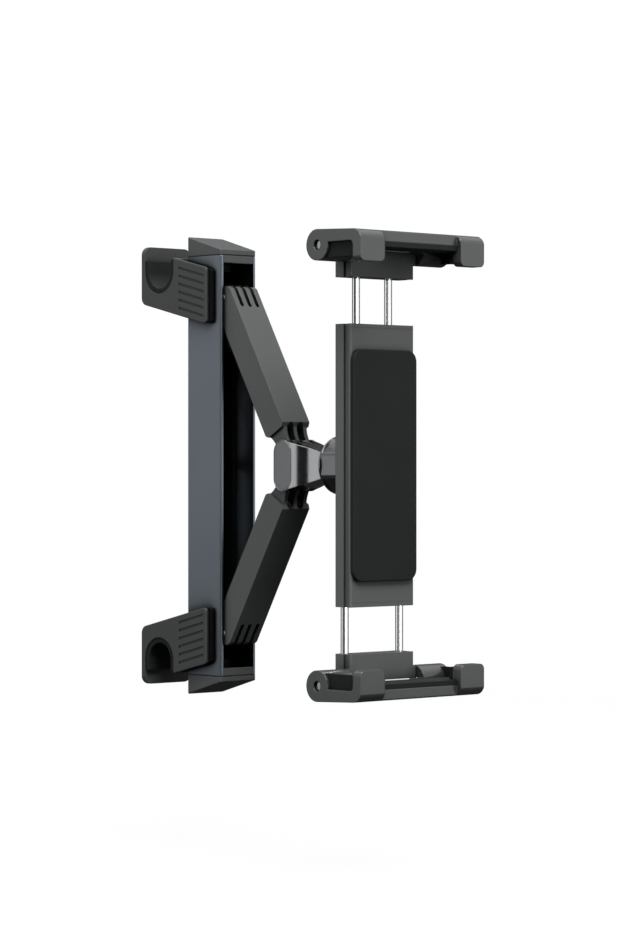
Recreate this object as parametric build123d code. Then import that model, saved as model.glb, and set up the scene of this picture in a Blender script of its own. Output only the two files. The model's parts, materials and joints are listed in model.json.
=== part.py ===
from build123d import *
import math
import os

# Headrest tablet mount, sizes in millimetres.
# Z runs along the rail, X across it, -Y points at the tablet, +Y at the headrest posts.
# The origin is the middle of the rail's rear face.

# Fits and small edges
running_gap = 0.15          # flat faces that slide on each other
pin_gap = 0.04              # pin in its hole, radial
cheek_gap = 0.1             # knuckle beside knuckle
edge_break = 0.4            # light deburred edge

# Rail, a channel open towards the tablet
rail_width = 19.0
rail_depth = 21.0
rail_overhang = 5.25        # rail's end beyond the headrest posts' axis
channel_width = 16.2
floor_thickness = 1.5
rail_edge = 0.6
track_depth = 0.5           # side tracks cut into the walls for the sliders
track_height = 2.4
track_rear = 8.6            # distance of the tracks from the rear face

# End caps
cap_front_height = 2.4      # above the joint line, at the front edge
cap_rear_height = 8.4       # above the joint line, at the rear edge
cap_lip_drop = 3.0
cap_lip_thickness = 2.4
cap_plug_length = 5.5
cap_plug_depth = 5.4
cap_screw_radius = 1.25
cap_screw_length = 5.0
cap_screw_head = 2.2
cap_joint_groove = 0.35     # shadow line where the cap meets the rail

# Folding arms
arm_width = 14.6
arm_thickness = 11.5
arm_span = 73.0             # pivot to pivot
arm_angle = 30.2            # from the rail
rail_pivot_depth = 19.5     # in front of the rail's rear face
arm_end_flat = 4.4          # from the rail pivot to the flat end
arm_end_chamfer = 1.0
rail_finger_width = 2.3
rail_finger_count = 4
rail_slot_reach = 7.9       # from the pivot to the blind end of a slot
arm_body_end = 9.6          # hub pivot to the step where the body ends
arm_body_bevel = 1.3
neck_width = 12.2
neck_waist = 3.2            # half thickness where the neck meets its round end
neck_belly = 3.3            # half thickness half way along the neck
hub_finger_width = 1.8
hub_finger_count = 3
hub_finger_radius = 4.3
hub_slot_reach = 9.3        # hub pivot to the blind end of a slot
hinge_pin_radius = 1.5
hub_pin_radius = 1.25

# Sliders in the channel
slider_knuckle_radius = 5.3
slider_half_length = 5.3
slider_rear = 7.2           # slider underside, from the rear face
slider_relief = 0.35        # between the arm end's sweep and the slider

# Hub
hub_pivot_half_gap = 5.0    # half the distance between the hub pivots
hub_half_width = 7.7
hub_side_radius = 5.3
hub_cheek = 1.3
hub_cover_thickness = 0.7
hub_cover_margin = 0.45
hub_neck_length = 22.2      # from the hub's middle to the end of the neck
hub_neck_half_height = 4.4
hub_neck_half_width = 4.5
hub_waist_half_width = 5.4
hub_flank_start = 3.2       # hub pivots to where the flanks begin to narrow
hub_neck_round = 0.9
hub_kerf_count = 3
hub_kerf_pitch = 2.6
hub_kerf_width = 0.9
hub_kerf_depth = 1.2
hub_finger_clearance = 0.3  # round the arms' round ends

# Ball joint
ball_radius = 7.0
ball_distance = 29.4        # hub centre to ball centre
stem_radius = 3.6
stem_shoulder = 1.0         # step down to the root that sits in the hub's neck
stem_root_wall = 1.5        # hub metal left behind the root
liner_thickness = 0.7
liner_gap = 0.08
liner_front_angle = 78.0    # edge of the front liner, from the tablet side
liner_rear_start = 99.0
liner_rear_end = 119.0
socket_wall = 1.0
nut_radius = 11.45
nut_rim_radius = 10.5
nut_bore_rim = 7.9
nut_seat_start = 0.3        # behind the ball's middle
nut_rim_distance = 5.2      # ball centre to the nut's rear rim
nut_length = 13.0
nut_flat_distance = 10.8
nut_flat_count = 8
nut_rim_land = 0.7          # full-round band between the flats and the rim's taper
nut_taper_length = 0.9
nut_seat_overlap = 5.0      # degrees that the nut's seat runs past the rear liner

# Cradle body, an extrusion with two chambers
cradle_standoff = 10.9      # ball centre to the cradle's rear face
cradle_half_width = 17.0
cradle_depth = 9.0
cradle_half_length = 54.5
cradle_corner = 0.9
chamber_wall = 0.62         # side wall beside the rod chamber
chamber_floor = 1.5         # rear wall of the rod chamber
groove_depth = 0.8
groove_width = 2.8
groove_front = 1.1          # front face to the side groove
front_chamber_half_width = 14.0
front_chamber_depth = 1.6
front_wall = 1.3
pad_half_width = 16.9
pad_half_length = 44.7
pad_thickness = 1.8
pad_corner = 4.5
pad_edge = 0.5
end_plate = 1.5             # end plates that guide the rods
end_tongue = 6.0
end_tongue_gap = 0.1
socket_screw_radius = 1.25
socket_screw_head = 2.1
socket_screw_length = 5.2
socket_screw_spread = 6.4
socket_screw_access = 2.4
socket_flange_radius = 9.6
socket_flange_height = 2.2

# Jaw rods, one bent wire for each jaw
rod_radius = 1.55
rod_gap = 0.1               # rod in its chamber
upper_rod_spread = 8.6
lower_rod_spread = 14.6
rod_bend = 2.6
rod_tail = 20.5             # middle of the cross run, from the cradle's middle
rod_embed = 5.5             # in the jaw block
jaw_spring_radius = 1.55
jaw_spring_bore = 0.7
jaw_in = 17.5               # travel from the pictured place
jaw_out = 19.0

# Jaw blocks and claws
block_start = 72.5          # from the cradle's middle
block_shoulder = 80.2
claw_axis_rise = 3.7        # claw axis above the block's shoulder
claw_axis_inset = 1.6       # behind the cradle's front face
barrel_radius = 6.0
knuckle_half_width = 17.9
claw_half_width = 33.0
barrel_gap = 0.35
claw_pin_radius = 1.9
claw_pin_recess = 1.0
claw_reach = 24.16          # claw axis to the finger's front
claw_top_drop = 0.8
finger_drop = 7.0           # claw axis to the finger's lower edge
finger_thickness = 4.36
finger_inner = 20.3
finger_corner = 2.2
lip_inset = 2.2
plate_underside = 0.9       # above the claw axis
shoulder_drop = 3.1
shoulder_inset = 4.16       # where the top ends, behind the finger's front
shoulder_bulge = 0.75
claw_pad_gap = 0.05
claw_pad_top = 2.0
claw_pad_cheek = 2.0
claw_pad_recess = 1.2
claw_pad_front = 1.8
claw_pad_drop = 5.0
claw_pad_tip = 1.0          # bare metal below the lining at the finger's end
claw_notch_corner = 1.6
claw_pad_clearance = 0.5    # to the knuckle
claw_fold = 90.0

# Hooks for the headrest posts
post_spacing = 159.8        # centre to centre
post_groove_radius = 7.0    # in the rubber
hook_liner_thickness = 2.1
post_axis_depth = 14.5      # behind the rail's rear face
hook_half_width = 12.4
hook_shell = 1.25
hook_front = 15.2           # in front of the rail's rear face
hook_front_low = 22.65      # below the post axis
hook_front_high = 0.4       # above the post axis
hook_tail_low = 13.0
hook_tail_depth = 24.2      # where the sloping underside meets the tail
hook_top_front = 5.25       # top of the front wall of the groove
hook_arm_thickness = 2.4
hook_arm_height = 10.6
hook_arm_corner = 3.4
hook_tail_corner = 3.2
hook_front_corner = 1.6
hook_liner_height = 4.6
hook_rim = 1.7
hook_panel_depth = 0.35
hook_rib_count = 6
hook_rib_width = 1.1
hook_rib_depth = 0.3
saddle_reach = 1.6          # how far the saddle stands out of the shell
saddle_back = 3.0
saddle_margin = 0.5
saddle_edge = 1.1
hook_travel = 14.0
foot_neck_half_width = 2.9
foot_neck_length = 14.0
foot_neck_centre = 9.0      # below the post axis
foot_half_width = 6.4
foot_thickness = 2.0
foot_lug_length = 2.0
foot_screw_radius = 0.9
foot_screw_spread = 4.0
foot_screw_head = 1.6
foot_screw_cover = 0.8      # saddle left over the screw's end

# Rail spring and its rod
spring_radius = 2.45
spring_bore = 1.4
rod_guide_radius = 1.1
rod_guide_half_length = 45.0
anchor_half_length = 2.5
anchor_half_width = 5.0
anchor_screw_head = 1.45

# Places that follow from the sizes above
rail_half_length = post_spacing / 2 + rail_overhang
rail_pivot_y = -rail_pivot_depth
lean = math.radians(arm_angle)
hub_y = rail_pivot_y - arm_span * math.sin(lean)
rail_pivot_z = hub_pivot_half_gap + arm_span * math.cos(lean)
ball_y = hub_y - ball_distance
cradle_rear_y = ball_y - cradle_standoff
cradle_front_y = cradle_rear_y - cradle_depth
claw_axis_y = cradle_front_y + claw_axis_inset
claw_axis_height = block_shoulder + claw_axis_rise
post_z = post_spacing / 2
post_y = post_axis_depth
liner_inner = ball_radius + liner_gap
liner_outer = liner_inner + liner_thickness
socket_inner = liner_outer + liner_gap
spring_y = -(floor_thickness + running_gap + spring_radius)
rod_chamber_half = rod_radius + rod_gap
rod_y = cradle_rear_y - chamber_floor - rod_chamber_half


def spread(outline, half_width, middle=0.0):
    # an outline drawn in Y and Z, given its width along X
    return Pos(middle, 0, 0) * extrude(Plane.YZ * outline, amount=half_width, both=True)


def along_z(outline, start, end):
    # an outline drawn in X and Y, drawn out between two heights
    return Pos(0, 0, start) * extrude(outline, amount=end - start)


def block(x_half, y_from, y_to, z_from, z_to):
    size = (2 * x_half, abs(y_to - y_from), abs(z_to - z_from))
    return Pos(0, (y_from + y_to) / 2, (z_from + z_to) / 2) * Box(*size)


def pin_along_x(radius, half_length, y, z):
    return Pos(0, y, z) * Rot(0, 90, 0) * Cylinder(radius, 2 * half_length)


def pin_along_y(radius, y_from, y_to, x, z):
    return Pos(x, (y_from + y_to) / 2, z) * Rot(90, 0, 0) * Cylinder(radius, abs(y_to - y_from))


def countersunk_along_y(radius, head, y_head, y_end, x, z):
    # a flush screw: its cone is as deep as the head is wider than the shank
    way = 1 if y_end > y_head else -1
    depth = head - radius
    tip = y_head + way * depth
    profile = make_face(Polyline((0, y_head), (head, y_head), (radius, tip), (radius, y_end), (0, y_end), close=True))
    return Pos(x, 0, z) * revolve(profile, axis=Axis.Y)


def polygon(*points):
    return make_face(Polyline(*points, close=True))


def lower(solid):
    return mirror(solid, about=Plane.XY)


def knuckle_places(count, pitch):
    # middles of a row of equal knuckles, centred on zero
    return [(i - (count - 1) / 2) * pitch for i in range(count)]


def make_rail():
    half = rail_width / 2
    outline = Pos(0, -rail_depth / 2) * Rectangle(rail_width, rail_depth)
    outline = chamfer(outline.vertices(), rail_edge)
    channel_depth = rail_depth - floor_thickness
    outline -= Pos(0, -floor_thickness - channel_depth / 2) * Rectangle(channel_width, channel_depth)
    track = Rectangle(channel_width + 2 * track_depth, track_height)
    outline -= Pos(0, -track_rear - track_height / 2) * track
    rail = along_z(outline, -rail_half_length, rail_half_length)
    slot_half = foot_neck_half_width + running_gap
    outer_end = foot_neck_z + foot_neck_length / 2 + running_gap
    inner_end = foot_neck_z - foot_neck_length / 2 - hook_travel - running_gap
    for side in (1, -1):
        rail -= block(slot_half, 1, -floor_thickness - 1, side * inner_end, side * outer_end)
        rail -= cap_screw(side)
    rail -= anchor_screw()
    return rail


foot_neck_z = post_z - foot_neck_centre
cap_screw_z = rail_half_length - cap_plug_length / 2


def cap_screw(side):
    return countersunk_along_y(cap_screw_radius, cap_screw_head, 0, -cap_screw_length, 0, side * cap_screw_z)


def make_end_cap():
    # sloping top, a plug on the channel's floor and a lip that fills the channel's mouth
    joint = rail_half_length
    rear_top = joint + cap_rear_height
    front_top = joint + cap_front_height
    outline = polygon((0, joint), (0, rear_top), (-rail_depth, front_top), (-rail_depth, joint))
    cap = spread(outline, rail_width / 2)
    upright = cap.edges().filter_by(Axis.Z)
    cap = chamfer(upright, rail_edge)
    cap = fillet(cap.faces().sort_by(Axis.Z)[-1].edges(), edge_break)
    plug_half = channel_width / 2 - running_gap
    floor = -floor_thickness
    cap += block(plug_half, floor, floor - cap_plug_depth, joint - cap_plug_length, joint)
    cap += block(plug_half, -rail_depth, cap_lip_thickness - rail_depth, joint - cap_lip_drop, joint)
    inset = cap_joint_groove
    groove = block(rail_width, rail_width, -2 * rail_depth, joint, joint + cap_joint_groove)
    groove -= block(rail_width / 2 - inset, -inset, inset - rail_depth, joint, joint + cap_joint_groove)
    cap -= groove
    cap -= cap_screw(1)
    return cap


def make_spring_anchor():
    # holds the spring rod and both springs in the middle of the rail
    top = spring_y - spring_radius
    anchor = block(anchor_half_width, -floor_thickness, top, -anchor_half_length, anchor_half_length)
    anchor -= Pos(0, spring_y, 0) * Cylinder(rod_guide_radius, 2 * anchor_half_length)
    anchor -= anchor_screw()
    return anchor


def anchor_screw():
    # two flush screws from the rear, one on each side of the spring rod
    pair = Part()
    for x in (-1, 1):
        place = x * (anchor_half_width + rod_guide_radius) / 2
        pair += countersunk_along_y(foot_screw_radius, anchor_screw_head, 0, spring_y, place, 0)
    return pair


def make_spring_rod():
    return Pos(0, spring_y, 0) * Cylinder(rod_guide_radius, 2 * rod_guide_half_length)


def slider_knuckle_gap():
    # free width between two fingers at the rail end of an arm
    return (arm_width - rail_finger_count * rail_finger_width) / (rail_finger_count - 1)


def make_slider():
    # runs in the rail's tracks and carries the knuckles of one arm
    front = rail_pivot_y + arm_thickness / 2 + slider_relief
    body_half = channel_width / 2 - running_gap
    z_low = rail_pivot_z - slider_half_length
    z_high = rail_pivot_z + slider_half_length
    slider = block(body_half, -slider_rear, front, z_low, z_high)
    wing_rear = -track_rear - running_gap
    wing_front = -track_rear - track_height + running_gap
    slider += block(body_half + track_depth, wing_rear, wing_front, z_low, z_high)
    knuckle = Pos(rail_pivot_y, rail_pivot_z) * Circle(slider_knuckle_radius)
    neck_middle = (rail_pivot_y + front) / 2
    knuckle += Pos(neck_middle, rail_pivot_z) * Rectangle(front - rail_pivot_y, 2 * slider_knuckle_radius)
    gap = slider_knuckle_gap()
    for x in knuckle_places(rail_finger_count - 1, gap + rail_finger_width):
        slider += spread(knuckle, gap / 2 - cheek_gap, x)
    slider -= pin_along_x(hinge_pin_radius + pin_gap, arm_width, rail_pivot_y, rail_pivot_z)
    return slider


def make_slider_pin():
    pin = pin_along_x(hinge_pin_radius, arm_width / 2, rail_pivot_y, rail_pivot_z)
    return chamfer(pin.edges(), edge_break)


def arm_point(along, out):
    # along runs from the rail pivot to the hub pivot, out points at the arm's front face
    y = rail_pivot_y - along * math.sin(lean) - out * math.cos(lean)
    z = rail_pivot_z - along * math.cos(lean) + out * math.sin(lean)
    return (y, z)


def arm_outline():
    # straight bar with a flat end and a rear corner rounded about the rail pivot
    half = arm_thickness / 2
    end_z = rail_pivot_z + arm_end_flat
    flat_rear = (rail_pivot_y + math.sqrt(half ** 2 - arm_end_flat ** 2), end_z)
    front_run = (arm_end_flat - half * math.sin(lean)) / math.cos(lean)
    front_top = arm_point(-front_run, half)
    chamfer_low = arm_point(-front_run + arm_end_chamfer, half)
    chamfer_top = (front_top[0] + arm_end_chamfer, end_z)
    body_end = arm_span - arm_body_end
    heel = arm_point(0, -half)
    heel_turn = (math.asin(arm_end_flat / half) - lean) / 2
    heel_middle = (rail_pivot_y + half * math.cos(heel_turn), rail_pivot_z + half * math.sin(heel_turn))
    step = half - arm_body_bevel
    waist = arm_span - hub_finger_radius * math.cos(math.asin(neck_waist / hub_finger_radius))
    belly = (body_end + waist) / 2
    edges = [
        Line(flat_rear, chamfer_top),
        Line(chamfer_top, chamfer_low),
        Line(chamfer_low, arm_point(body_end - arm_body_bevel, half)),
        Line(arm_point(body_end - arm_body_bevel, half), arm_point(body_end, step)),
        ThreePointArc(arm_point(body_end, step), arm_point(belly, neck_belly), arm_point(waist, neck_waist)),
        ThreePointArc(arm_point(waist, neck_waist), arm_point(arm_span + hub_finger_radius, 0),
                      arm_point(waist, -neck_waist)),
        ThreePointArc(arm_point(waist, -neck_waist), arm_point(belly, -neck_belly), arm_point(body_end, -step)),
        Line(arm_point(body_end, -step), arm_point(body_end - arm_body_bevel, -half)),
        Line(arm_point(body_end - arm_body_bevel, -half), heel),
        ThreePointArc(heel, heel_middle, flat_rear),
    ]
    return make_face(edges)


def arm_slot(width, open_along, blind_along, middle):
    # a slot milled straight through the arm, with a round blind end
    face = Plane(origin=(middle, *arm_point(0, 0)), x_dir=(1, 0, 0), z_dir=(0, -math.cos(lean), math.sin(lean)))
    half_way = (open_along + blind_along) / 2
    outline = Pos(0, -half_way) * Rectangle(width, abs(open_along - blind_along))
    outline += Pos(0, -blind_along) * Circle(width / 2)
    return extrude(face * outline, amount=arm_thickness, both=True)


def make_arm():
    arm = spread(arm_outline(), arm_width / 2)
    # the neck is narrower than the body
    neck_start = arm_span - arm_body_end
    for side in (1, -1):
        cheek = (arm_width - neck_width) / 2
        corners = [arm_point(neck_start, -arm_thickness), arm_point(neck_start, arm_thickness),
                   arm_point(arm_span * 1.2, arm_thickness), arm_point(arm_span * 1.2, -arm_thickness)]
        arm -= spread(polygon(*corners), cheek / 2, side * (arm_width - cheek) / 2)
    gap = slider_knuckle_gap()
    for x in knuckle_places(rail_finger_count - 1, gap + rail_finger_width):
        arm -= arm_slot(gap, -arm_thickness, rail_slot_reach - gap / 2, x)
    wide = hub_slot_width()
    for x in knuckle_places(hub_finger_count - 1, wide + hub_finger_width):
        arm -= arm_slot(wide, arm_span + arm_thickness, arm_span - hub_slot_reach, x)
    arm -= pin_along_x(hinge_pin_radius + pin_gap, arm_width, rail_pivot_y, rail_pivot_z)
    arm -= pin_along_x(hub_pin_radius + pin_gap, arm_width, hub_y, hub_pivot_half_gap)
    return arm


def hub_slot_width():
    return (neck_width - hub_finger_count * hub_finger_width) / (hub_finger_count - 1)


def stadium(radius, half_gap):
    # side outline about the two hub pivots
    outline = Rectangle(2 * radius, 2 * half_gap)
    for z in (-half_gap, half_gap):
        outline += Pos(0, z) * Circle(radius)
    return Pos(hub_y, 0) * outline


def neck_end_y():
    return hub_y - hub_neck_length


def make_hub():
    # a cast fork: cheeks and two inner lugs carry both arms, a waisted neck carries the ball
    height = hub_pivot_half_gap + hub_side_radius
    neck_y = neck_end_y()
    side = stadium(hub_side_radius, hub_pivot_half_gap)
    side += polygon((hub_y, height), (neck_y, hub_neck_half_height), (neck_y, -hub_neck_half_height), (hub_y, -height))
    bend_y = hub_y - hub_flank_start
    waist_y = (bend_y + neck_y) / 2
    flank = Spline((hub_half_width, bend_y), (hub_waist_half_width, waist_y), (hub_neck_half_width, neck_y),
                   tangents=[(0, -1), (0, -1)])
    rear_y = hub_y + hub_side_radius
    edges = [Line((0, rear_y), (hub_half_width, rear_y)), Line((hub_half_width, rear_y), (hub_half_width, bend_y)),
             flank, Line((hub_neck_half_width, neck_y), (0, neck_y)), Line((0, neck_y), (0, rear_y))]
    half_plan = make_face(edges)
    plan = half_plan + mirror(half_plan, about=Plane.YZ)
    hub = spread(side, hub_half_width) & along_z(plan, -height, height)
    hub = fillet(hub.edges().filter_by(lambda e: e.center().Y < neck_y + 0.01 and e.length > hub_neck_half_height), hub_neck_round)
    clearance = hub_finger_radius + hub_finger_clearance
    opening = stadium(clearance, hub_pivot_half_gap)
    reach = 2 * height
    opening += polygon((hub_y - clearance, 0), (hub_y - clearance, reach), (hub_y + reach, reach),
                       (hub_y + reach, -reach), (hub_y - clearance, -reach))
    pitch = hub_slot_width() + hub_finger_width
    inner = hub_half_width - hub_cheek
    outer_from = pitch - hub_finger_width / 2 - cheek_gap
    hub -= spread(opening, hub_finger_width / 2 + cheek_gap)
    for way in (1, -1):
        hub -= spread(opening, (inner - outer_from) / 2, way * (inner + outer_from) / 2)
        hub -= hub_cover(way)
    hub -= hub_pins()
    hub -= stem_root()
    for kerf in hub_kerfs(height):
        hub -= kerf
    return hub


def hub_kerfs(height):
    # shallow grooves along the neck's sloping top and bottom, from the fork to the neck's end
    run = (hub_y - hub_finger_radius - neck_end_y())
    fall = (height - hub_neck_half_height) / hub_neck_length
    start = (hub_y - hub_finger_radius, height - fall * hub_finger_radius - hub_kerf_depth)
    end = (neck_end_y(), start[1] - fall * run)
    kerfs = []
    for way in (1, -1):
        outline = polygon((start[0], way * start[1]), (end[0], way * end[1]), (end[0], way * height), (start[0], way * height))
        for x in knuckle_places(hub_kerf_count, hub_kerf_pitch):
            kerfs.append(spread(outline, hub_kerf_width / 2, x))
    return kerfs


def hub_cover(way):
    cover = stadium(hub_side_radius - hub_cover_margin, hub_pivot_half_gap)
    return spread(cover, hub_cover_thickness / 2, way * (hub_half_width - hub_cover_thickness / 2))


def hub_pins():
    half = hub_half_width - hub_cover_thickness
    pair = Part()
    for z in (-hub_pivot_half_gap, hub_pivot_half_gap):
        pair += pin_along_x(hub_pin_radius, half, hub_y, z)
    return pair


def stem_root():
    root_end = hub_y - hub_finger_radius - hub_finger_clearance - stem_root_wall
    return pin_along_y(stem_radius - stem_shoulder, neck_end_y(), root_end, 0, 0)


def make_ball_stud():
    ball = Pos(0, ball_y, 0) * Sphere(ball_radius)
    return ball + pin_along_y(stem_radius, ball_y, neck_end_y(), 0, 0) + stem_root()


def polar(radius, angle):
    # a point on a circle about the ball's middle, the angle counted from the tablet side
    turn = math.radians(angle)
    return (radius * math.sin(turn), ball_y - radius * math.cos(turn))


def liner_zone(start, end):
    # a thin ball-shaped ring or cup between two angles
    middle = (start + end) / 2
    edges = [
        ThreePointArc(polar(liner_outer, start), polar(liner_outer, middle), polar(liner_outer, end)),
        Line(polar(liner_outer, end), polar(liner_inner, end)),
        ThreePointArc(polar(liner_inner, end), polar(liner_inner, middle), polar(liner_inner, start)),
        Line(polar(liner_inner, start), polar(liner_outer, start)),
    ]
    return revolve(make_face(edges), axis=Axis.Y)


def make_ball_socket():
    # flanged cup on the cradle's rear face
    cup_radius = socket_inner + socket_wall
    top_y = ball_y + cheek_gap
    socket = pin_along_y(cup_radius, cradle_rear_y, top_y, 0, 0)
    socket += pin_along_y(socket_flange_radius, cradle_rear_y, cradle_rear_y + socket_flange_height, 0, 0)
    socket -= Pos(0, ball_y, 0) * Sphere(socket_inner)
    return socket - socket_screws()


def socket_screws():
    head_y = cradle_rear_y - chamber_floor
    pair = Part()
    for x in (-socket_screw_spread, socket_screw_spread):
        pair += countersunk_along_y(socket_screw_radius, socket_screw_head, head_y, head_y + socket_screw_length, x, 0)
    return pair


def make_ring_nut():
    # inside it meets the cup's thread and then closes over the rear liner
    rim_y = ball_y + nut_rim_distance
    front_y = rim_y - nut_length
    bore = socket_inner + socket_wall + pin_gap
    seat_start = ball_y + nut_seat_start
    start_angle = 90 + math.degrees(math.asin((seat_start - ball_y) / socket_inner))
    seat_end = liner_rear_end + nut_seat_overlap
    seat_middle = (start_angle + seat_end) / 2
    edges = [
        Line((bore, front_y), (nut_radius, front_y)),
        Line((nut_radius, front_y), (nut_radius, rim_y - nut_taper_length)),
        Line((nut_radius, rim_y - nut_taper_length), (nut_rim_radius, rim_y)),
        Line((nut_rim_radius, rim_y), (nut_bore_rim, rim_y)),
        Line((nut_bore_rim, rim_y), polar(socket_inner, seat_end)),
        ThreePointArc(polar(socket_inner, seat_end), polar(socket_inner, seat_middle), polar(socket_inner, start_angle)),
        Line(polar(socket_inner, start_angle), (bore, seat_start)),
        Line((bore, seat_start), (bore, front_y)),
    ]
    nut = revolve(make_face(edges), axis=Axis.Y)
    flat_length = nut_length - nut_taper_length - nut_rim_land
    flat = Pos(0, front_y + flat_length / 2, nut_flat_distance + nut_radius / 2)
    flat = flat * Box(nut_radius, flat_length, nut_radius)
    for i in range(nut_flat_count):
        nut -= Rot(0, i * 360 / nut_flat_count, 0) * flat
    return nut


def cradle_section(with_chambers):
    # the extrusion's outline with its side grooves, in X and Y
    middle_y = cradle_rear_y - cradle_depth / 2
    outline = Pos(0, middle_y) * RectangleRounded(2 * cradle_half_width, cradle_depth, cradle_corner)
    groove_y = cradle_front_y + groove_front + groove_width / 2
    for way in (1, -1):
        place = Pos(way * (cradle_half_width - groove_depth / 2 + 1), groove_y)
        outline -= place * Rectangle(groove_depth + 2, groove_width)
    if with_chambers:
        outline -= Pos(0, rod_y) * Rectangle(2 * (cradle_half_width - chamber_wall), 2 * rod_chamber_half)
        outline -= Pos(0, front_chamber_y()) * Rectangle(2 * front_chamber_half_width, front_chamber_depth)
    return outline


def front_chamber_y():
    return cradle_front_y + front_wall + front_chamber_depth / 2


def make_cradle_body():
    body_end = cradle_half_length - end_plate
    body = along_z(cradle_section(True), -body_end, body_end)
    body -= socket_screws()
    for x in (-socket_screw_spread, socket_screw_spread):
        body -= pin_along_y(socket_screw_access, cradle_front_y - 1, rod_y, x, 0)
    return body


def make_end_plate(rod_spread):
    # closes the extrusion and guides one pair of rods
    plate = along_z(cradle_section(False), cradle_half_length - end_plate, cradle_half_length)
    tongue_half = front_chamber_half_width - end_tongue_gap
    tongue_depth = front_chamber_depth / 2 - end_tongue_gap
    z_end = cradle_half_length - end_plate
    plate += block(tongue_half, front_chamber_y() - tongue_depth, front_chamber_y() + tongue_depth, z_end - end_tongue, z_end)
    for x in (-rod_spread, rod_spread):
        plate -= Pos(x, rod_y, cradle_half_length) * Cylinder(rod_radius + rod_gap, 4 * end_plate)
    return plate


def make_pad():
    outline = RectangleRounded(2 * pad_half_width, 2 * pad_half_length, pad_corner)
    pad = extrude(Plane.XZ.offset(-cradle_front_y) * outline, amount=pad_thickness)
    return fillet(pad.faces().sort_by(Axis.Y)[0].edges(), pad_edge)


def make_jaw_rods(rod_spread):
    # one wire bent to a U, its cross run inside the cradle
    top = block_start + rod_embed
    points = [(-rod_spread, rod_y, top), (-rod_spread, rod_y, rod_tail), (rod_spread, rod_y, rod_tail), (rod_spread, rod_y, top)]
    path = FilletPolyline(*points, radius=rod_bend)
    start = Plane(origin=points[0], z_dir=(0, 0, -1))
    return sweep(start * Circle(rod_radius), path=path)


def make_jaw_spring():
    # pushes the rods' cross run towards the middle of the cradle
    z_from = rod_tail + rod_radius + pin_gap
    z_to = cradle_half_length - end_plate - pin_gap
    ring = Circle(jaw_spring_radius) - Circle(jaw_spring_bore)
    return Pos(0, rod_y, z_from) * extrude(ring, amount=z_to - z_from)


def make_jaw_block(rod_spread):
    # carries the rods below and the claw's middle knuckle above
    jaw = along_z(cradle_section(False), block_start, block_shoulder)
    knuckle = Pos(claw_axis_y, claw_axis_height) * Circle(barrel_radius)
    flush = Pos(cradle_front_y + 2 * barrel_radius, claw_axis_height) * Rectangle(4 * barrel_radius, 4 * barrel_radius)
    jaw += spread(knuckle & flush, knuckle_half_width)
    for x in (-rod_spread, rod_spread):
        jaw -= Pos(x, rod_y, block_start) * Cylinder(rod_radius + pin_gap, 2 * rod_embed)
    return jaw - pin_along_x(claw_pin_radius + pin_gap, 2 * knuckle_half_width, claw_axis_y, claw_axis_height)


def claw_at(forward, up):
    # a point of the claw's side outline, counted from its pin
    return (claw_axis_y - forward, claw_axis_height + up)


def claw_outline():
    top_front = claw_at(claw_reach - shoulder_inset, barrel_radius - claw_top_drop)
    nose = claw_at(claw_reach, barrel_radius - claw_top_drop - shoulder_drop)
    shoulder = claw_at(claw_reach - shoulder_inset / 2 + shoulder_bulge / 2,
                       barrel_radius - claw_top_drop - shoulder_drop / 2 + shoulder_bulge)
    edges = [
        Line(claw_at(0, barrel_radius), top_front),
        ThreePointArc(top_front, shoulder, nose),
        Line(nose, claw_at(claw_reach, -finger_drop)),
        Line(claw_at(claw_reach, -finger_drop), claw_at(claw_reach - finger_thickness, -finger_drop)),
        Line(claw_at(claw_reach - finger_thickness, -finger_drop), claw_at(claw_reach - finger_thickness, plate_underside)),
        Line(claw_at(claw_reach - finger_thickness, plate_underside), claw_at(0, plate_underside)),
        Line(claw_at(0, plate_underside), claw_at(0, barrel_radius)),
    ]
    outline = make_face(edges)
    notch = outline.vertices().sort_by_distance(claw_at(claw_reach - finger_thickness, plate_underside))[0]
    outline = fillet([notch], claw_notch_corner)
    return outline + Pos(*claw_at(0, 0)) * Circle(barrel_radius)


def make_claw():
    # two outer barrels, a plate between them and a finger at each end
    claw = spread(claw_outline(), claw_half_width)
    low = claw_axis_height - 2 * finger_drop
    high = claw_axis_height + 2 * barrel_radius
    middle = finger_inner
    lip_y = claw_axis_y - claw_reach + lip_inset
    claw -= block(middle, lip_y, lip_y - claw_reach, low, high)
    plate_low = claw_axis_height + plate_underside
    claw -= block(middle, claw_axis_y - barrel_radius, lip_y, low, plate_low)
    barrel_half = knuckle_half_width + barrel_gap
    sweep_space = Pos(*claw_at(0, 0)) * Circle(barrel_radius + barrel_gap)
    sweep_space += polygon(claw_at(0, -2 * barrel_radius), claw_at(-2 * barrel_radius, -2 * barrel_radius),
                           claw_at(-2 * barrel_radius, 2 * barrel_radius), claw_at(0, 2 * barrel_radius))
    claw -= spread(sweep_space, barrel_half)
    tips = claw.edges().filter_by(Axis.Y).filter_by(lambda e: e.center().Z < claw_axis_height - finger_drop + 0.1)
    claw = fillet(tips, finger_corner)
    return claw - pin_along_x(claw_pin_radius + pin_gap, 2 * claw_half_width, claw_axis_y, claw_axis_height)


def make_claw_pin():
    pin = pin_along_x(claw_pin_radius, claw_half_width - claw_pin_recess, claw_axis_y, claw_axis_height)
    return chamfer(pin.edges(), edge_break)


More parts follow.
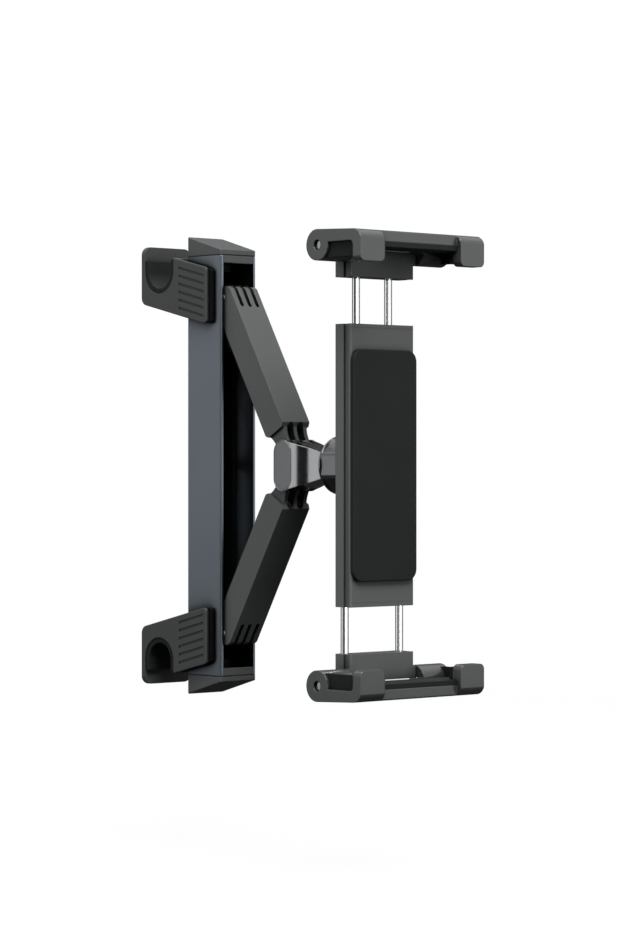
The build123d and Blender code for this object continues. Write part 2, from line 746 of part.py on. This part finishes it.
def make_claw_pad():
    # rubber lining under the plate, behind the fingers and down both flanks
    y_rear = claw_axis_y - barrel_radius - claw_pad_clearance
    y_front = claw_axis_y - claw_reach + finger_thickness
    lip_y = claw_axis_y - claw_reach + lip_inset
    z_top = claw_axis_height + plate_underside
    z_low = z_top - claw_pad_top
    flank_out = claw_half_width - claw_pad_recess
    flank_in = flank_out - claw_pad_cheek
    pad = block(flank_out, y_rear, y_front, z_low, z_top)
    pad += block(finger_inner, y_front, lip_y, z_low, z_top)
    flank_middle = (flank_out + flank_in) / 2
    flank = polygon(claw_at(0, plate_underside), (y_front, z_top), (y_front, claw_axis_height - claw_pad_drop),
                    claw_at(0, -claw_pad_drop))
    flank -= Pos(*claw_at(0, 0)) * Circle(barrel_radius + claw_pad_gap)
    finger_low = claw_axis_height - finger_drop + claw_pad_tip
    strip_half = (flank_in - finger_inner) / 2
    for way in (1, -1):
        pad += spread(flank, claw_pad_cheek / 2, way * flank_middle)
        strip = Pos(way * (flank_in + finger_inner) / 2, 0, 0) * block(strip_half, y_front, y_front + claw_pad_front, finger_low, z_top)
        pad += strip
    # the lining follows the rounded inner corner behind each finger
    corner = Pos(y_front + claw_notch_corner / 2, z_top - claw_notch_corner / 2) * Rectangle(claw_notch_corner, claw_notch_corner)
    corner -= Pos(y_front + claw_notch_corner, z_top - claw_notch_corner) * Circle(claw_notch_corner)
    for way in (1, -1):
        pad -= spread(corner, (flank_out - finger_inner) / 2, way * (flank_out + finger_inner) / 2)
    return pad


def hook_at(back, up):
    # a point of the hook's side outline, counted from the headrest post's axis
    return (post_y + back, post_z + up)


def groove_outline(radius, height):
    # open groove for the post, round at the bottom and straight above
    outline = Pos(*hook_at(0, 0)) * Circle(radius)
    outline -= Pos(*hook_at(0, radius)) * Rectangle(2 * radius, 2 * radius)
    return outline + Pos(*hook_at(0, height / 2)) * Rectangle(2 * radius, height)


def underside_slope():
    return (hook_front_low - hook_tail_low) / (hook_front + hook_tail_depth)


def hook_side():
    shell_radius = post_groove_radius + hook_liner_thickness
    tail_y = post_y + shell_radius + hook_arm_thickness
    front_wall_y = post_y - shell_radius
    low_front = (-hook_front, post_z - hook_front_low)
    high_front = (-hook_front, post_z + hook_front_high)
    outline = polygon(low_front, (tail_y, post_z - hook_tail_low), (tail_y, post_z + hook_arm_height),
                      (front_wall_y, post_z + hook_arm_height), (front_wall_y, post_z + hook_top_front), high_front)
    corner = outline.vertices().sort_by_distance((tail_y, post_z - hook_tail_low))[0]
    outline = fillet([corner], hook_tail_corner)
    for point in (low_front, high_front):
        corner = outline.vertices().sort_by_distance(point)[0]
        outline = fillet([corner], hook_front_corner)
    return outline - groove_outline(shell_radius, 2 * hook_arm_height)


def make_hook_shell():
    shell = spread(hook_side(), hook_half_width)
    inner = hook_half_width - hook_shell
    shell -= block(inner, saddle_back, -2 * hook_front, post_z - 2 * hook_front_low, post_z + 2 * hook_arm_height)
    tail_y = post_y + post_groove_radius + hook_liner_thickness + hook_arm_thickness
    top = post_z + hook_arm_height
    corners = shell.edges().filter_by(Axis.Y).filter_by(lambda e: e.center().Z > top - 0.01 and e.center().Y > post_y)
    shell = fillet(corners, hook_arm_corner)
    shell = fillet(shell.edges().filter_by(Axis.X).filter_by(lambda e: e.center().Y > tail_y - 0.01), edge_break)
    for way in (1, -1):
        for rib in hook_ribs(way):
            shell -= rib
    return shell


def hook_ribs(way):
    # finger grooves that run with the sloping underside
    slope = underside_slope()
    rear_y = post_y - post_groove_radius - hook_liner_thickness - 2 * hook_rim
    front_y = -hook_front + hook_rim
    free = hook_front_low + hook_front_high - 2 * hook_rim
    pitch = free / hook_rib_count
    ribs = []
    for i in range(hook_rib_count):
        z = post_z - hook_front_low + hook_rim + (i + 0.5) * pitch
        rise = slope * (rear_y - front_y)
        half = hook_rib_width / 2
        groove = polygon((front_y, z - half), (rear_y, z + rise - half), (rear_y, z + rise + half), (front_y, z + half))
        ribs.append(spread(groove, hook_rib_depth, way * hook_half_width))
    return ribs


def make_hook_saddle():
    # slides on the rail's sides and rear face, with a neck through the rail's slot
    slope = underside_slope()
    front_y = -hook_front - saddle_reach
    low = post_z - hook_front_low + saddle_margin
    high = post_z + hook_front_high - saddle_margin
    rise = slope * (saddle_back + hook_front)
    outline = polygon((front_y, low), (-hook_front, low), (saddle_back, low + rise), (saddle_back, high + rise),
                      (-hook_front, high), (front_y, high))
    outer = hook_half_width - hook_shell
    saddle = spread(outline, outer)
    saddle -= block(rail_width / 2 + running_gap, running_gap, 2 * front_y, 0, 2 * post_z)
    front_edges = saddle.edges().filter_by(Axis.X).filter_by(lambda e: e.center().Y < front_y + 0.01)
    saddle = fillet(front_edges, saddle_edge)
    z_low = foot_neck_z - foot_neck_length / 2
    z_high = foot_neck_z + foot_neck_length / 2
    saddle += block(foot_neck_half_width, running_gap, -floor_thickness - running_gap, z_low, z_high)
    return saddle - foot_screws()


def foot_screws():
    head_y = -floor_thickness - running_gap - foot_thickness
    pair = Part()
    for z in (-foot_screw_spread, foot_screw_spread):
        pair += countersunk_along_y(foot_screw_radius, foot_screw_head, head_y, saddle_back - foot_screw_cover, 0, foot_neck_z + z)
    return pair


def make_hook_foot():
    # plate inside the channel that keeps the hook on the rail, with a lug for the spring
    top = -floor_thickness - running_gap
    z_low = foot_neck_z - foot_neck_length / 2 - foot_lug_length
    z_high = foot_neck_z + foot_neck_length / 2 + running_gap
    foot = block(foot_half_width, top, top - foot_thickness, z_low, z_high)
    foot += block(spring_radius, top, spring_y - spring_radius, z_low, z_low + foot_lug_length)
    return foot - foot_screws()


def make_hook_liner():
    shell_radius = post_groove_radius + hook_liner_thickness
    outline = groove_outline(shell_radius, hook_liner_height) - groove_outline(post_groove_radius, 2 * hook_liner_height)
    return spread(outline, hook_half_width - edge_break)


def make_rail_spring():
    # pushes the hook's foot outwards
    z_from = anchor_half_length + pin_gap
    z_to = foot_neck_z - foot_neck_length / 2 - foot_lug_length - pin_gap
    ring = Circle(spring_radius) - Circle(spring_bore)
    return Pos(0, spring_y, z_from) * extrude(ring, amount=z_to - z_from)


def build():
    nodes = {
        "rail": make_rail(),
        "cap_screws": Compound(children=[cap_screw(1), cap_screw(-1)]),
        "spring_anchor": make_spring_anchor(),
        "anchor_screws": anchor_screw(),
        "spring_rod": make_spring_rod(),
        "hub_body": make_hub(),
        "hub_covers": Compound(children=[hub_cover(1), hub_cover(-1)]),
        "hub_pins": hub_pins(),
        "ball_stud": make_ball_stud(),
        "ball_liner_front": liner_zone(0, liner_front_angle),
        "ball_liner_rear": liner_zone(liner_rear_start, liner_rear_end),
        "ball_socket": make_ball_socket(),
        "socket_screws": socket_screws(),
        "ring_nut": make_ring_nut(),
        "cradle_body": make_cradle_body(),
        "cradle_pad": make_pad(),
    }
    rods = {"upper": upper_rod_spread, "lower": lower_rod_spread}
    for place, rod_spread in rods.items():
        pair = {
            "end_cap": make_end_cap(),
            "hook_shell": make_hook_shell(),
            "hook_saddle": make_hook_saddle(),
            "hook_foot": make_hook_foot(),
            "foot_screws": foot_screws(),
            "hook_liner": make_hook_liner(),
            "rail_spring": make_rail_spring(),
            "slider": make_slider(),
            "slider_pin": make_slider_pin(),
            "arm": make_arm(),
            "cradle_end": make_end_plate(rod_spread),
            "jaw_rods": make_jaw_rods(rod_spread),
            "jaw_spring": make_jaw_spring(),
            "jaw_block": make_jaw_block(rod_spread),
            "claw": make_claw(),
            "claw_pin": make_claw_pin(),
            "claw_pad": make_claw_pad(),
        }
        for name, solid in pair.items():
            nodes[name + "_" + place] = solid if place == "upper" else lower(solid)
    return nodes


def main():
    os.makedirs("parts", exist_ok=True)
    for name, solid in build().items():
        export_step(solid, os.path.join("parts", name + ".step"))


if __name__ == "__main__":
    main()
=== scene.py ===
import json
import math

import bmesh
import bpy
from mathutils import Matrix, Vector


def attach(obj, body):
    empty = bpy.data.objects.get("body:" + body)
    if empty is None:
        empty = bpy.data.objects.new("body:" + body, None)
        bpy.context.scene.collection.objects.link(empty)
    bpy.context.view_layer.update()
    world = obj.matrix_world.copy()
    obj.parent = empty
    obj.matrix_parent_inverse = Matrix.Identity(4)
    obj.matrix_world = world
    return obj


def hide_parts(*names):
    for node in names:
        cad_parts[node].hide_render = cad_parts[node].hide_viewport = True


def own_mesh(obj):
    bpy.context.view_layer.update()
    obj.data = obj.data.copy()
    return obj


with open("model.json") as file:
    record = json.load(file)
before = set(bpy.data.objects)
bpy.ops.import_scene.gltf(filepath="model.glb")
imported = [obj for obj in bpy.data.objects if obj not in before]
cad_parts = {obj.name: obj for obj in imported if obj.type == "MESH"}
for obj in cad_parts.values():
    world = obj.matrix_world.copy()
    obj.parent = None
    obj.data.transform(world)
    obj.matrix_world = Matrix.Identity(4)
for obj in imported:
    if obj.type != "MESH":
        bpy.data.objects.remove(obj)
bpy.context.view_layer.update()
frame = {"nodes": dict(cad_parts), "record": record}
nodes = frame["nodes"]
mm = 0.001
print("frame loaded:", len(nodes), "nodes")


# Colours and nodes
def toLinear(hexText):
    channels = [int(hexText[i:i + 2], 16) / 255 for i in (0, 2, 4)]
    return tuple(c / 12.92 if c <= 0.04045 else ((c + 0.055) / 1.055) ** 2.4 for c in channels) + (1.0,)


def addNode(tree, kind, inputs=None, links=None, **settings):
    node = tree.nodes.new(kind)
    for name, value in settings.items():
        setattr(node, name, value)
    for name, value in (inputs or {}).items():
        node.inputs[name].default_value = value
    for name, socket in (links or {}).items():
        tree.links.new(socket, node.inputs[name])
    return node


def startMaterial(name):
    material = bpy.data.materials.new(name)
    material.use_nodes = True
    material.node_tree.nodes.clear()
    return material, material.node_tree


# Materials: a fine relief, a soft cloudy tone and broken gloss
relief = {
    "moulded": {"detail": 3.0, "roughness": 0.6, "cloudDetail": 4.0},
    "drawn": {"detail": 4.0, "roughness": 0.65, "cloudDetail": 3.0},
    "edgeSamples": 4,
}
recessShadePaint = {
    # painted shade: slots and inside corners of moulded and coated pieces catch little light, so their colour is
    # darkened towards near black
    "moulded": {"reachMm": 7, "fall": 1.6, "tone": "060606", "samples": 6},
    # painted shade: inside the rail's channel the metal's colour is darkened towards near black, where the channel
    # lies in shade
    "channel": {"reachMm": 14, "fall": 3.0, "tone": "0A0B0C", "samples": 8},
}


# painted shade: ambient occlusion darkens the base colour towards the given tone in slots, recesses and inside
# corners
def paintRecessShade(tree, colour, recess):
    reach = addNode(tree, "ShaderNodeAmbientOcclusion", {"Distance": recess["reachMm"] * mm},
                    samples=recess["samples"])
    depth = addNode(tree, "ShaderNodeMath", {1: recess["fall"]}, {0: reach.outputs["AO"]}, operation="POWER")
    dark = addNode(tree, "ShaderNodeMix", {"A": toLinear(recess["tone"])},
                   {"B": colour, "Factor": depth.outputs["Value"]}, data_type="RGBA", clamp_factor=True)
    return dark.outputs["Result"]


def addSkin(tree, look, where, fine, cloudDetail, metallic):
    cloud = addNode(tree, "ShaderNodeTexNoise", {"Scale": 1 / (look["cloudMm"] * mm), "Detail": cloudDetail},
                    {"Vector": where})
    tone = addNode(tree, "ShaderNodeMix", {"A": toLinear(look["dark"]), "B": toLinear(look["light"])},
                   {"Factor": cloud.outputs["Fac"]}, data_type="RGBA", clamp_factor=True)
    colour = tone.outputs["Result"]
    # painted shade in the piece's recesses
    if "recess" in look:
        colour = paintRecessShade(tree, colour, recessShadePaint[look["recess"]])
    gloss = addNode(tree, "ShaderNodeMapRange", {"To Min": look["roughness"] - look["spread"],
                                                 "To Max": look["roughness"] + look["spread"]}, {"Value": fine})
    edge = addNode(tree, "ShaderNodeBevel", {"Radius": look["edgeMm"] * mm}, samples=relief["edgeSamples"])
    bump = addNode(tree, "ShaderNodeBump", {"Strength": look["bump"], "Distance": look["depthMm"] * mm},
                   {"Height": fine, "Normal": edge.outputs["Normal"]})
    skin = addNode(tree, "ShaderNodeBsdfPrincipled", {"Metallic": metallic},
                   {"Base Color": colour, "Roughness": gloss.outputs["Result"], "Normal": bump.outputs["Normal"]})
    if metallic == 0:
        skin.inputs["IOR"].default_value = look["ior"]
        skin.inputs["Specular IOR Level"].default_value = look["specular"]
    addNode(tree, "ShaderNodeOutputMaterial", links={"Surface": skin.outputs["BSDF"]})


def grainMaterial(name, look):
    # moulded, cast, coated or rubber skin: an even fine grain
    material, tree = startMaterial(name)
    kind = relief["moulded"]
    where = addNode(tree, "ShaderNodeTexCoord").outputs["Object"]
    grain = addNode(tree, "ShaderNodeTexNoise",
                    {"Scale": 1 / (look["grainMm"] * mm), "Detail": kind["detail"], "Roughness": kind["roughness"]},
                    {"Vector": where})
    addSkin(tree, look, where, grain.outputs["Fac"], kind["cloudDetail"], look.get("metallic", 0.0))
    return material


def drawnMetal(name, look):
    # extruded, drawn or turned metal: fine lines along one axis
    material, tree = startMaterial(name)
    kind = relief["drawn"]
    where = addNode(tree, "ShaderNodeTexCoord").outputs["Object"]
    across = 1 / (look["lineMm"] * mm)
    scale = [across, across, across]
    scale[look["along"]] = across * look["stretch"]
    lines = addNode(tree, "ShaderNodeMapping", {"Scale": scale}, {"Vector": where})
    scratch = addNode(tree, "ShaderNodeTexNoise",
                      {"Scale": 1.0, "Detail": kind["detail"], "Roughness": kind["roughness"]},
                      {"Vector": lines.outputs["Vector"]})
    addSkin(tree, look, where, scratch.outputs["Fac"], kind["cloudDetail"], 1.0)
    return material


finishes = {
    # extruded aluminium, blue-grey anodised: satin, with faint draw lines along Z
    "rail_anodised": drawnMetal("anodised_aluminium_extruded", {
        "dark": "7F878F", "light": "899199", "lineMm": 0.25, "stretch": 0.01, "along": 2, "cloudMm": 40,
        "roughness": 0.34, "spread": 0.05, "bump": 0.12, "depthMm": 0.02, "edgeMm": 0.35, "recess": "channel"}),
    # moulded ABS, fine spark texture
    "cap_plastic": grainMaterial("abs_moulded_caps", {
        "dark": "444647", "light": "4A4C4C", "grainMm": 0.35, "cloudMm": 14, "roughness": 0.38, "spread": 0.06,
        "bump": 0.1, "depthMm": 0.02, "edgeMm": 0.45, "ior": 1.5, "specular": 0.3, "recess": "moulded"}),
    # zinc plated steel, turned
    "zinc_steel": drawnMetal("steel_zinc_plated", {
        "dark": "D8D9DA", "light": "ECEDEE", "lineMm": 0.2, "stretch": 0.2, "along": 0, "cloudMm": 5,
        "roughness": 0.32, "spread": 0.06, "bump": 0.1, "depthMm": 0.01, "edgeMm": 0.15}),
    # powder coated aluminium arms, smooth satin
    "arm_painted": grainMaterial("powder_coat_arms", {
        "dark": "484A4A", "light": "4E5050", "grainMm": 0.5, "cloudMm": 20, "roughness": 0.36, "spread": 0.05,
        "bump": 0.12, "depthMm": 0.02, "edgeMm": 0.4, "ior": 1.5, "specular": 0.3, "recess": "moulded"}),
    # cast hub and nut, polished and dark plated: mirrors the white room and the black cards
    "hub_gloss": grainMaterial("zinc_casting_black_nickel", {
        "dark": "98999B", "light": "A4A5A7", "grainMm": 1.2, "cloudMm": 10, "roughness": 0.13, "spread": 0.03,
        "bump": 0.04, "depthMm": 0.02, "edgeMm": 0.5, "metallic": 1.0, "recess": "moulded"}),
    # black glass-filled nylon, matte
    "black_nylon": grainMaterial("nylon_moulded_black", {
        "dark": "040405", "light": "08080A", "grainMm": 0.4, "cloudMm": 9, "roughness": 0.55, "spread": 0.08,
        "bump": 0.2, "depthMm": 0.02, "edgeMm": 0.3, "ior": 1.5, "specular": 0.1, "recess": "moulded"}),
    # moulded hook shells, matte grey
    "hook_plastic": grainMaterial("abs_moulded_hooks", {
        "dark": "3A3C3C", "light": "404242", "grainMm": 0.3, "cloudMm": 12, "roughness": 0.46, "spread": 0.07,
        "bump": 0.15, "depthMm": 0.02, "edgeMm": 0.35, "ior": 1.5, "specular": 0.25, "recess": "moulded"}),
    # silicone rubber, matte with a fine grip grain
    "rubber_black": grainMaterial("silicone_rubber_pads", {
        "dark": "1A1C1C", "light": "202221", "grainMm": 0.22, "cloudMm": 18, "roughness": 0.62, "spread": 0.08,
        "bump": 0.35, "depthMm": 0.03, "edgeMm": 0.4, "ior": 1.41, "specular": 0.2, "recess": "moulded"}),
    # lacquered aluminium cradle, satin
    "cradle_painted": grainMaterial("lacquered_extrusion_cradle", {
        "dark": "505252", "light": "565858", "grainMm": 0.6, "cloudMm": 26, "roughness": 0.34, "spread": 0.05,
        "bump": 0.08, "depthMm": 0.02, "edgeMm": 0.35, "ior": 1.5, "specular": 0.3, "recess": "moulded"}),
    # moulded claws, semi-gloss
    "claw_painted": grainMaterial("abs_moulded_claws", {
        "dark": "3F4141", "light": "454747", "grainMm": 0.4, "cloudMm": 16, "roughness": 0.2, "spread": 0.05,
        "bump": 0.1, "depthMm": 0.02, "edgeMm": 0.6, "ior": 1.5, "specular": 0.7, "recess": "moulded"}),
    # ground and chromed steel rod
    "chrome_rod": drawnMetal("steel_hard_chromed", {
        "dark": "E6E7E8", "light": "F2F3F4", "lineMm": 0.3, "stretch": 0.05, "along": 2, "cloudMm": 20,
        "roughness": 0.06, "spread": 0.02, "bump": 0.0, "depthMm": 0.005, "edgeMm": 0.15}),
}
slotOf = {part["node"]: part["material_slot"] for part in frame["record"]["subparts"]}

for nodeName, obj in nodes.items():
    obj.data.materials.clear()
    obj.data.materials.append(finishes[slotOf[nodeName]])
print("CAD nodes dressed:", len(nodes))


# Helical springs in the rail's channel, in place of their plain CAD tubes
springs = {
    "coilMm": 1.93,
    "wireMm": 0.4,
    "turns": 22.0,
    "stepsPerTurn": 24,
    "wireSides": 8,
    "axisMm": -4.1,
    "nearMm": 2.94,
    "lengthMm": 58.52,
    "keep": 0.752,
    "held": {"upper": 1, "lower": -1},      # which way each spring runs from the rail's middle
}


def springTree():
    tree = bpy.data.node_groups.new("helical_spring", "GeometryNodeTree")
    for name, kind in (("Turns", "Float"), ("Coil Radius", "Float"), ("Wire Radius", "Float"), ("Length", "Float"),
                       ("Place", "Vector"), ("Material", "Material")):
        tree.interface.new_socket(name, in_out="INPUT", socket_type="NodeSocket" + kind)
    tree.interface.new_socket("Geometry", in_out="OUTPUT", socket_type="NodeSocketGeometry")
    given = addNode(tree, "NodeGroupInput").outputs
    coil = addNode(tree, "GeometryNodeCurveSpiral", {"Resolution": springs["stepsPerTurn"]},
                   {"Rotations": given["Turns"], "Start Radius": given["Coil Radius"],
                    "End Radius": given["Coil Radius"], "Height": given["Length"]})
    wire = addNode(tree, "GeometryNodeCurvePrimitiveCircle", {"Resolution": springs["wireSides"]},
                   {"Radius": given["Wire Radius"]})
    swept = addNode(tree, "GeometryNodeCurveToMesh", {"Fill Caps": True},
                    {"Curve": coil.outputs["Curve"], "Profile Curve": wire.outputs["Curve"]})
    placed = addNode(tree, "GeometryNodeTransform",
                     links={"Geometry": swept.outputs["Mesh"], "Translation": given["Place"]})
    smooth = addNode(tree, "GeometryNodeSetShadeSmooth", links={"Geometry": placed.outputs["Geometry"]})
    plain = addNode(tree, "GeometryNodeRealizeInstances", links={"Geometry": smooth.outputs["Geometry"]})
    painted = addNode(tree, "GeometryNodeSetMaterial",
                      links={"Geometry": plain.outputs["Geometry"], "Material": given["Material"]})
    addNode(tree, "NodeGroupOutput", links={"Geometry": painted.outputs["Geometry"]})
    return tree


def grownMesh(name, tree, values):
    holder = bpy.data.objects.new(name, bpy.data.meshes.new(name))
    bpy.context.collection.objects.link(holder)
    modifier = holder.modifiers.new("grown", "NODES")
    modifier.node_group = tree
    for item in tree.interface.items_tree:
        if item.in_out == "INPUT":
            modifier[item.identifier] = values[item.name]
    graph = bpy.context.evaluated_depsgraph_get()
    holder.data = bpy.data.meshes.new_from_object(holder.evaluated_get(graph))
    holder.modifiers.clear()
    return holder


def buildSprings():
    tree = springTree()
    axis, near, length = (springs[name] * mm for name in ("axisMm", "nearMm", "lengthMm"))
    for which, way in springs["held"].items():
        start = near if way > 0 else -near - length
        spring = grownMesh("rail_coil_" + which, tree, {
            "Turns": springs["turns"], "Coil Radius": springs["coilMm"] * mm,
            "Wire Radius": springs["wireMm"] * mm, "Length": length, "Place": (0, axis, start),
            "Material": finishes["zinc_steel"]})
        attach(spring, "base")
        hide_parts("rail_spring_" + which)
        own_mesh(spring)


buildSprings()
print("springs wound")


# Studio: camera at the photograph's place, white surroundings, soft lamps
studio = {
    "cameraPlace": (-0.85127, -0.99328, 0.0),
    "cameraTurn": -42.5,        # degrees about the upright axis
    "lens": 122.96,
    "sensorWidth": 36.0,
    "clipStart": 0.01,
    "floorHeight": -0.16,
    "floorRadius": 1.0,
    "floorSides": 64,
    "floorPaint": "303030",
    "floorGlow": 0.96,
    "ambient": 0.05,
    # what polished metal mirrors: degrees from the left side towards the back, and strength,
    # where the low ones are black cards
    "mirrored": ((-180, 0.05), (-152, 0.05), (-146, 1.0), (-66, 1.0), (-61, 0.02), (-38, 0.02), (-35, 1.0),
                 (-30, 1.0), (-26, 0.02), (14, 0.02), (19, 1.0), (43, 1.0), (47, 0.3), (62, 0.3), (70, 0.05),
                 (180, 0.05)),
    "cardsEnd": 0.45,           # height of a direction, as a sine, up to which the cards stand
    "whiteFrom": 0.7,           # and from which all is white
    "lamps": {
        "topFront": {"place": (-0.45, -1.12, 1.38), "size": 0.9, "power": 44.0, "mirrored": True},
        "top": {"place": (-0.1, 0.0, 1.7), "size": 1.2, "power": 17.0, "mirrored": True},
        "back": {"place": (1.15, 1.75, 0.4), "size": 1.2, "power": 26.0, "mirrored": False},
        "front": {"place": (-0.3, -2.2, -0.04), "size": 0.8, "power": 8.0, "mirrored": True},
        "side": {"place": (-1.9, 0.15, 0.55), "size": 0.9, "power": 20.0, "mirrored": False},
    },
    "aim": (0.0, -0.05, 0.0),
}


def buildCamera():
    cameraData = bpy.data.cameras.new("camera")
    cameraData.lens = studio["lens"]
    cameraData.sensor_width = studio["sensorWidth"]
    cameraData.clip_start = studio["clipStart"]
    camera = bpy.data.objects.new("camera", cameraData)
    camera.location = studio["cameraPlace"]
    camera.rotation_euler = (math.radians(90), 0, math.radians(studio["cameraTurn"]))
    bpy.context.collection.objects.link(camera)
    bpy.context.scene.camera = camera


def buildLamps():
    for name, lamp in studio["lamps"].items():
        lampData = bpy.data.lights.new(name, "AREA")
        lampData.shape = "SQUARE"
        lampData.size = lamp["size"]
        lampData.energy = lamp["power"]
        holder = bpy.data.objects.new(name, lampData)
        holder.location = lamp["place"]
        holder.visible_glossy = lamp["mirrored"]
        towards = Vector(studio["aim"]) - Vector(lamp["place"])
        holder.rotation_euler = towards.to_track_quat("-Z", "Y").to_euler()
        bpy.context.collection.objects.link(holder)


def buildWorld():
    world = bpy.data.worlds.new("white_studio")
    bpy.context.scene.world = world
    world.use_nodes = True
    tree = world.node_tree
    tree.nodes.clear()
    path = addNode(tree, "ShaderNodeLightPath").outputs
    where = addNode(tree, "ShaderNodeTexCoord")
    side = addNode(tree, "ShaderNodeSeparateXYZ", links={0: where.outputs["Generated"]})
    left = addNode(tree, "ShaderNodeMath", {1: -1.0}, {0: side.outputs["X"]}, operation="MULTIPLY")
    turn = addNode(tree, "ShaderNodeMath", links={0: side.outputs["Y"], 1: left.outputs["Value"]},
                   operation="ARCTAN2")
    around = addNode(tree, "ShaderNodeMapRange", {"From Min": -math.pi, "From Max": math.pi},
                     {"Value": turn.outputs["Value"]})
    cards = addNode(tree, "ShaderNodeValToRGB", links={0: around.outputs["Result"]})
    stops = cards.color_ramp.elements
    for degrees, strength in studio["mirrored"][1:-1]:
        stops.new((degrees + 180) / 360).color = (strength, strength, strength, 1)
    for end in (0, -1):
        stops[end].color = (studio["mirrored"][end][1],) * 3 + (1,)
    height = addNode(tree, "ShaderNodeMath", links={0: side.outputs["Z"]}, operation="ABSOLUTE")
    above = addNode(tree, "ShaderNodeMapRange", {"From Min": studio["cardsEnd"], "From Max": studio["whiteFrom"]},
                    {"Value": height.outputs["Value"]})
    mirrored = addNode(tree, "ShaderNodeMath", links={0: cards.outputs["Color"], 1: above.outputs["Result"]},
                       operation="MAXIMUM")
    shown = addNode(tree, "ShaderNodeMath", links={0: path["Is Camera Ray"], 1: path["Is Transmission Ray"]},
                    operation="MAXIMUM")
    plain = addNode(tree, "ShaderNodeMath", {0: studio["ambient"]}, {1: shown.outputs["Value"]},
                    operation="MAXIMUM")
    glossy = addNode(tree, "ShaderNodeMix", links={"Factor": path["Is Glossy Ray"], "A": plain.outputs["Value"],
                                                   "B": mirrored.outputs["Value"]}, data_type="FLOAT")
    sky = addNode(tree, "ShaderNodeBackground", {"Color": (1, 1, 1, 1)}, {"Strength": glossy.outputs["Result"]})
    addNode(tree, "ShaderNodeOutputWorld", links={"Surface": sky.outputs["Background"]})


def buildFloor():
    mesh = bpy.data.meshes.new("floor")
    disc = bmesh.new()
    bmesh.ops.create_circle(disc, cap_ends=True, segments=studio["floorSides"], radius=studio["floorRadius"])
    bmesh.ops.translate(disc, vec=(0, 0, studio["floorHeight"]), verts=disc.verts)
    disc.to_mesh(mesh)
    disc.free()
    floor = bpy.data.objects.new("floor", mesh)
    bpy.context.collection.objects.link(floor)
    material, tree = startMaterial("pale_floor")
    path = addNode(tree, "ShaderNodeLightPath").outputs
    # lit paint lifts the glow to pure white, and the object's shadow stays a little darker
    paint = addNode(tree, "ShaderNodeBsdfDiffuse", {"Color": toLinear(studio["floorPaint"])})
    glow = addNode(tree, "ShaderNodeEmission", {"Color": (1, 1, 1, 1), "Strength": studio["floorGlow"]})
    lit = addNode(tree, "ShaderNodeAddShader", links={0: paint.outputs["BSDF"], 1: glow.outputs["Emission"]})
    mix = addNode(tree, "ShaderNodeMixShader",
                  links={0: path["Is Camera Ray"], 1: paint.outputs["BSDF"], 2: lit.outputs["Shader"]})
    addNode(tree, "ShaderNodeOutputMaterial", links={"Surface": mix.outputs["Shader"]})
    mesh.materials.append(material)


buildCamera()
buildLamps()
buildWorld()
buildFloor()
bpy.context.scene.view_settings.view_transform = "Standard"
print("studio ready")
